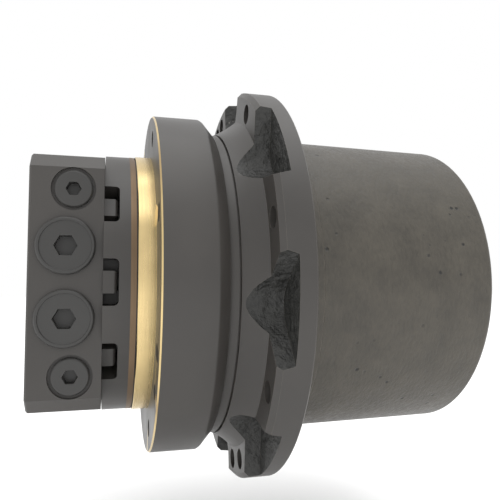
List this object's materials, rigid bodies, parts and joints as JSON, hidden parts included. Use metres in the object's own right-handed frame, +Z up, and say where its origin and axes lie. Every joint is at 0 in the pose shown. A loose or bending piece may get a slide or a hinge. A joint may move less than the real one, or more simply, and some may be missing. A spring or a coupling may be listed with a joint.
{
  "type": "excavator final drive",
  "caption": "Track final drive: hydraulic axial piston motor in a fixed case with valve block, and a planetary gear case that turns and carries the sprocket flange.",
  "frame": {"origin": "centre of the face that seats on the track frame, on the drive axis", "axes": "+X along the drive axis from the motor to the closed end of the gear case, +Z up, +Y away from the side that the plugs of the valve block face"},
  "size_m": [0.3089, 0.3, 0.3],
  "materials": {
    "satin_black_paint": "satin",
    "dark_steel": "satin",
    "ground_steel": "gloss",
    "gear_steel": "satin",
    "spring_steel": "satin",
    "bronze": "satin",
    "cast_iron": "matte",
    "black_rubber": "matte"
  },
  "bodies": {
    "fixed_side": {"motor_case": "satin_black_paint", "valve_block": "satin_black_paint", "block_screws": "dark_steel", "check_valve_plugs": "dark_steel", "gallery_plugs": "dark_steel", "spool_caps": "dark_steel", "spool_spring_upper": "spring_steel", "spool_spring_lower": "spring_steel", "valve_plate": "bronze", "swash_plate": "ground_steel", "shaft_oil_seal": "black_rubber", "seal_ring_fixed": "ground_steel", "seal_toric_fixed": "black_rubber", "bearing_spacer": "ground_steel", "ring_nut": "dark_steel", "brake_steel_plates": "ground_steel", "main_bearing_inner_races": "ground_steel", "shaft_bearing_outer_races": "ground_steel", "planet_2_pins": "ground_steel", "planet_2_needles": "ground_steel", "planet_2_washers": "bronze"},
    "hub": {"gear_case": "satin_black_paint", "ring_gear": "gear_steel", "main_bearing_outer_races": "ground_steel", "seal_ring_turning": "ground_steel", "seal_toric_turning": "black_rubber", "end_cover": "satin_black_paint", "cover_seal_ring": "black_rubber", "cover_plugs": "dark_steel", "cover_circlip": "dark_steel", "thrust_button": "ground_steel"},
    "shaft_group": {"drive_shaft": "ground_steel", "cylinder_barrel": "ground_steel", "pistons": "ground_steel", "piston_slippers": "bronze", "slipper_retainer": "ground_steel", "brake_friction_discs": "bronze", "shaft_bearing_inner_races": "ground_steel"},
    "carrier_group": {"carrier_1": "cast_iron", "sun_gear_2": "gear_steel", "planet_1_pins": "ground_steel", "planet_1_needles": "ground_steel", "planet_1_washers": "bronze"},
    "planet_1a_body": {"planet_1a": "gear_steel"},
    "planet_2a_body": {"planet_2a": "gear_steel"},
    "planet_1b_body": {"planet_1b": "gear_steel"},
    "planet_2b_body": {"planet_2b": "gear_steel"},
    "planet_1c_body": {"planet_1c": "gear_steel"},
    "planet_2c_body": {"planet_2c": "gear_steel"},
    "main_roller_cages": {"main_bearing_rollers": "ground_steel"},
    "shaft_roller_cages": {"shaft_bearing_rollers": "ground_steel"},
    "brake_piston_group": {"brake_piston": "ground_steel", "brake_piston_ring": "black_rubber", "brake_spring": "spring_steel"},
    "spool_body": {"counterbalance_spool": "ground_steel"},
    "check_lower_body": {"check_poppet_lower": "ground_steel", "check_spring_lower": "spring_steel"},
    "check_upper_body": {"check_poppet_upper": "ground_steel", "check_spring_upper": "spring_steel"}
  },
  "joints": [
    {"name": "hub_spin", "type": "hinge", "parent": "fixed_side", "child": "hub", "pos_m": [0.075, 0, 0], "axis": [1, 0, 0], "continuous": true},
    {"name": "carrier_spin", "type": "hinge", "parent": "fixed_side", "child": "carrier_group", "pos_m": [0.163, 0, 0], "axis": [1, 0, 0], "continuous": true},
    {"name": "shaft_spin", "type": "hinge", "parent": "fixed_side", "child": "shaft_group", "pos_m": [0.075, 0, 0], "axis": [1, 0, 0], "continuous": true},
    {"name": "planet_2a_spin", "type": "hinge", "parent": "fixed_side", "child": "planet_2a_body", "pos_m": [0.13524, -0.063, 0], "axis": [1, 0, 0], "continuous": true},
    {"name": "planet_2b_spin", "type": "hinge", "parent": "fixed_side", "child": "planet_2b_body", "pos_m": [0.13524, 0.0315, 0.05456], "axis": [1, 0, 0], "continuous": true},
    {"name": "planet_2c_spin", "type": "hinge", "parent": "fixed_side", "child": "planet_2c_body", "pos_m": [0.13524, 0.0315, -0.05456], "axis": [1, 0, 0], "continuous": true},
    {"name": "planet_1a_spin", "type": "hinge", "parent": "carrier_group", "child": "planet_1a_body", "pos_m": [0.18148, -0.0585, 0], "axis": [1, 0, 0], "continuous": true},
    {"name": "planet_1b_spin", "type": "hinge", "parent": "carrier_group", "child": "planet_1b_body", "pos_m": [0.18148, 0.02925, 0.05066], "axis": [1, 0, 0], "continuous": true},
    {"name": "planet_1c_spin", "type": "hinge", "parent": "carrier_group", "child": "planet_1c_body", "pos_m": [0.18148, 0.02925, -0.05066], "axis": [1, 0, 0], "continuous": true},
    {"name": "main_rollers_spin", "type": "hinge", "parent": "fixed_side", "child": "main_roller_cages", "pos_m": [0.083, 0, 0], "axis": [1, 0, 0], "continuous": true},
    {"name": "shaft_rollers_spin", "type": "hinge", "parent": "fixed_side", "child": "shaft_roller_cages", "pos_m": [0.0785, 0, 0], "axis": [1, 0, 0], "continuous": true},
    {"name": "brake_piston_slide", "type": "slide", "parent": "fixed_side", "child": "brake_piston_group", "axis": [-1, 0, 0], "range_m": [0, 0.0012], "stiffness_N_per_m": 20000},
    {"name": "spool_slide", "type": "slide", "parent": "fixed_side", "child": "spool_body", "axis": [0, 0, 1], "range_m": [-0.006, 0.006], "stiffness_N_per_m": 8000, "deforming": ["spool_spring_upper", "spool_spring_lower"]},
    {"name": "check_lower_slide", "type": "slide", "parent": "fixed_side", "child": "check_lower_body", "axis": [0, -1, 0], "range_m": [0, 0.003], "stiffness_N_per_m": 1000},
    {"name": "check_upper_slide", "type": "slide", "parent": "fixed_side", "child": "check_upper_body", "axis": [0, -1, 0], "range_m": [0, 0.003], "stiffness_N_per_m": 1000}
  ],
  "couplings": [
    {"joint": "carrier_spin", "follows": "hub_spin", "ratio": -3.6667},
    {"joint": "shaft_spin", "follows": "hub_spin", "ratio": -29.333},
    {"joint": "planet_2a_spin", "follows": "hub_spin", "ratio": 2.75},
    {"joint": "planet_2b_spin", "follows": "hub_spin", "ratio": 2.75},
    {"joint": "planet_2c_spin", "follows": "hub_spin", "ratio": 2.75},
    {"joint": "planet_1a_spin", "follows": "hub_spin", "ratio": 11.407},
    {"joint": "planet_1b_spin", "follows": "hub_spin", "ratio": 11.407},
    {"joint": "planet_1c_spin", "follows": "hub_spin", "ratio": 11.407},
    {"joint": "main_rollers_spin", "follows": "hub_spin", "ratio": 0.5267},
    {"joint": "shaft_rollers_spin", "follows": "hub_spin", "ratio": -12.32}
  ]
}
